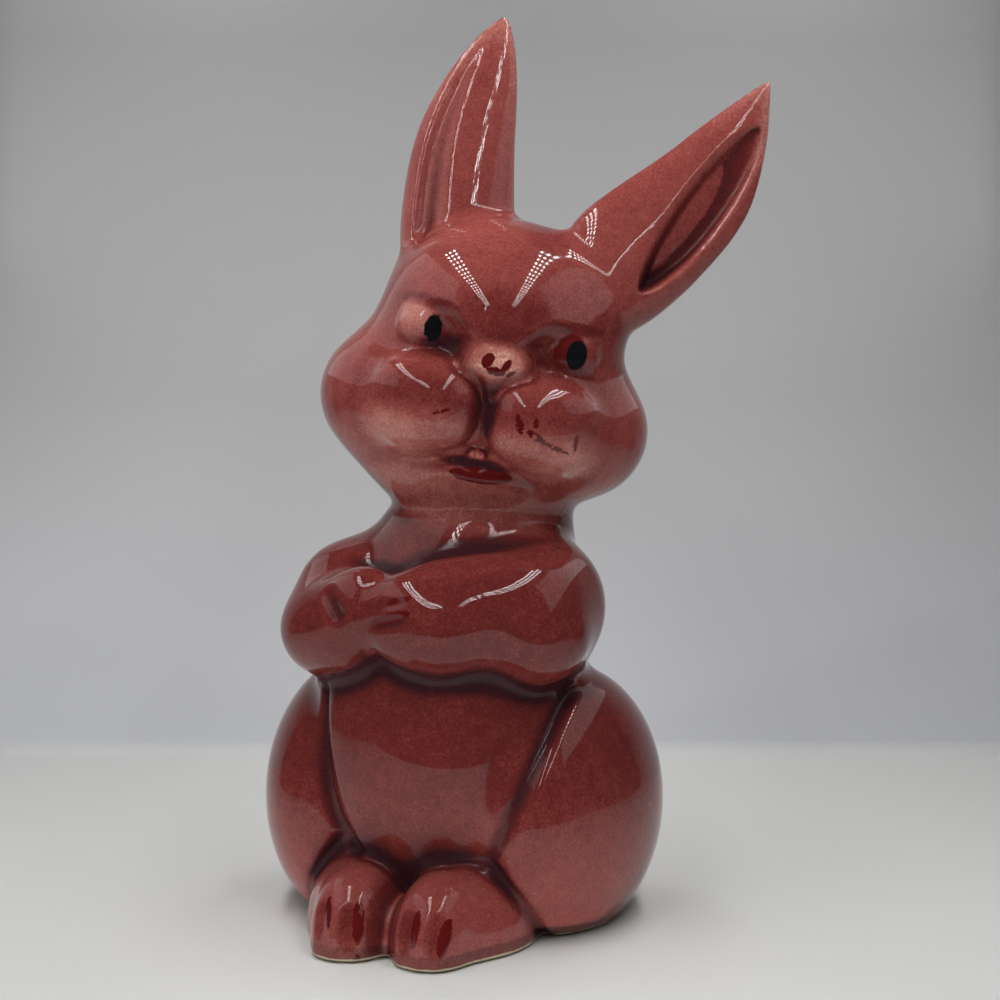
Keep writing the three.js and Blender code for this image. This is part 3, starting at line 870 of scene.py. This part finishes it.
world = bpy.data.worlds.new("room")
bpy.context.scene.world = world
world.use_nodes = True
room = Tone(world.node_tree)
seen = room.node("LightPath", {}, {}, out="Is Camera Ray")
room_colour = room.node("Mix", {"data_type": "RGBA"}, {0: seen, 6: DIM_ROOM, 7: PALE_ROOM}, out=2)
feed(room_colour, world.node_tree.nodes["Background"], "Color")


# Light: two strips of small lamps that run overhead on both sides, towards the camera, and a pale wall on
# each side, which the glaze mirrors. A glow from each strip and soft panels overhead, on the left and low
# over the table fill in without being mirrored.
UP = Vector((0, 0, 1))
LIGHT_MIDDLE = 0.01
STRIP_ASIDE = 0.095
STRIP_HEIGHT = 0.3
STRIP_LENGTH = 0.5
STRIP_TILT = math.radians(20)
LAMPS_ACROSS = 3
LAMPS_ALONG = 24
LAMP_RADIUS_SHARE = 0.25
PALE_WALL_ASIDE = 0.15
PALE_WALL_BACK = -0.01
PALE_WALL_HEIGHT = 0.23


def panel(name, place, rotation, size, watts, mirrored_in_glaze):
    lamp = bpy.data.lights.new(name, "AREA")
    lamp.shape = "RECTANGLE"
    lamp.size, lamp.size_y = size
    lamp.energy = watts
    made = in_scene(name, lamp)
    made.location = place
    made.rotation_euler = rotation
    made.visible_glossy = mirrored_in_glaze
    made.visible_camera = False
    return made


def aimed_panel(name, place, aim, size, watts, mirrored_in_glaze):
    rotation = (aim - place).to_track_quat("-Z", "Y").to_euler()
    return panel(name, place, rotation, size, watts, mirrored_in_glaze)


def strip(name, side, back, width, watts, mirrored_in_glaze):
    """A long panel overhead on one side, which runs towards the camera and leans over."""
    place = across_view(LIGHT_MIDDLE + side * STRIP_ASIDE, back, STRIP_HEIGHT)
    rotation = Euler((0, STRIP_TILT * side, VIEW_TURN))
    return panel(name, place, rotation, (width, STRIP_LENGTH), watts, mirrored_in_glaze)


def lamp_rows(lamp):
    """Lights a strip as rows of small round lamps in place of one even panel."""
    lamp.use_nodes = True
    start = Tone(lamp.node_tree)
    place = start.node("NewGeometry", {}, {}, out="Parametric")
    across = start.math("FRACT", measure(place, (1, 0, 0)) * LAMPS_ACROSS) - 0.5
    along = start.math("FRACT", measure(place, (0, 1, 0)) * LAMPS_ALONG) - 0.5
    lit = start.math("LESS_THAN", (across**2 + along**2) ** 0.5, LAMP_RADIUS_SHARE)
    colour = start.node("Mix", {"data_type": "RGBA"}, {0: lit, 6: (0, 0, 0, 1), 7: (1, 1, 1, 1)}, out=2)
    feed(colour, lamp.node_tree.nodes["Emission"], "Color")


walls_aim = across_view(LIGHT_MIDDLE, PALE_WALL_BACK, PALE_WALL_HEIGHT)
for side, name in ((1, "right"), (-1, "left")):
    lamps = strip(f"lamp_strip_{name}", side, -0.22, 0.031, 1.3, True)
    lamp_rows(lamps.data)
    strip(f"strip_glow_{name}", side, -0.1, 0.03, 0.6, False)
    wall_place = across_view(LIGHT_MIDDLE + side * PALE_WALL_ASIDE, PALE_WALL_BACK, PALE_WALL_HEIGHT)
    aimed_panel(f"white_wall_{name}", wall_place, walls_aim, (0.32, 0.16), 0.1, True)
aimed_panel("soft_top", across_view(0, -0.03, 0.7), Vector((0, 0, 0.08)), (0.6, 0.6), 0.5, False)
aimed_panel("soft_left", across_view(-0.5, -0.4, 0.22), Vector((0, 0, 0.09)), (0.5, 0.5), 1.15, False)
bounce = across_view(0, -0.11, 0.003)
aimed_panel("table_bounce", bounce, bounce + UP, (0.6, 0.2), 0.36, False)


# Camera: at the photograph's place, a little above the figure's waist and to its left. It looks slightly
# down, through a lens a little longer than normal.
CAMERA_PLACE = (0.0107, -0.366, 0.112)
CAMERA_DIP = 3.8
lens = bpy.data.cameras.new("camera")
lens.sensor_width = 36
lens.lens = 63
camera = in_scene("camera", lens)
camera.location = across_view(*CAMERA_PLACE)
camera.rotation_euler = (math.radians(90 - CAMERA_DIP), 0, VIEW_TURN)
bpy.context.scene.camera = camera
bpy.context.scene.view_settings.view_transform = "Standard"
